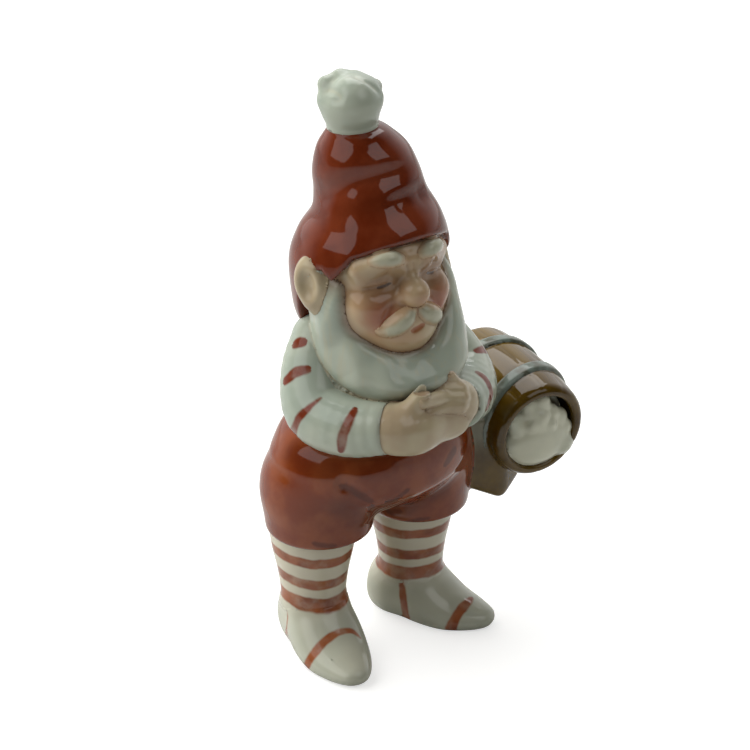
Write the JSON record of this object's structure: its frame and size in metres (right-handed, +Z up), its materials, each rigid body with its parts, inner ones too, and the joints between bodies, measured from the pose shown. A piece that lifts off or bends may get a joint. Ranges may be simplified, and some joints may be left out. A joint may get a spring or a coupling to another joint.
{
  "type": "porcelain pixie figurine",
  "caption": "Standing glazed porcelain pixie with a knit cap, big beard and striped shirt, holding its hands before its belly, with an open barrel of white foam at its hip.",
  "frame": {"origin": "on the floor under the middle of the figurine's box", "axes": "+Z up from the soles, -Y the way the figure faces, +X towards its left side, where the barrel is"},
  "size_m": [0.0856, 0.0494, 0.1454],
  "materials": {
    "white_glaze": "clear gloss glaze over white porcelain",
    "striped_glaze": "clear gloss glaze over white porcelain with hand-painted red-brown stripes",
    "red_glaze": "clear gloss glaze over red-brown underglaze colour",
    "skin_glaze": "clear gloss glaze over flesh underglaze colour",
    "wood_glaze": "clear gloss glaze over brown underglaze colour",
    "hoop_glaze": "clear gloss glaze over grey underglaze colour"
  },
  "bodies": {
    "root": {"right_shoe": "striped_glaze", "left_shoe": "striped_glaze", "right_stocking": "striped_glaze", "left_stocking": "striped_glaze", "trousers": "red_glaze", "torso": "striped_glaze", "right_sleeve": "striped_glaze", "left_sleeve": "striped_glaze", "right_hand": "skin_glaze", "left_hand": "skin_glaze", "head": "skin_glaze", "right_ear": "skin_glaze", "left_ear": "skin_glaze", "right_brow": "white_glaze", "left_brow": "white_glaze", "right_moustache": "white_glaze", "left_moustache": "white_glaze", "beard": "white_glaze", "hat": "red_glaze", "pompom": "white_glaze", "barrel_staves": "wood_glaze", "barrel_front_hoop": "hoop_glaze", "barrel_rear_hoop": "hoop_glaze", "barrel_rear_head": "wood_glaze", "barrel_filling": "white_glaze", "barrel_bracket": "wood_glaze"}
  },
  "joints": []
}
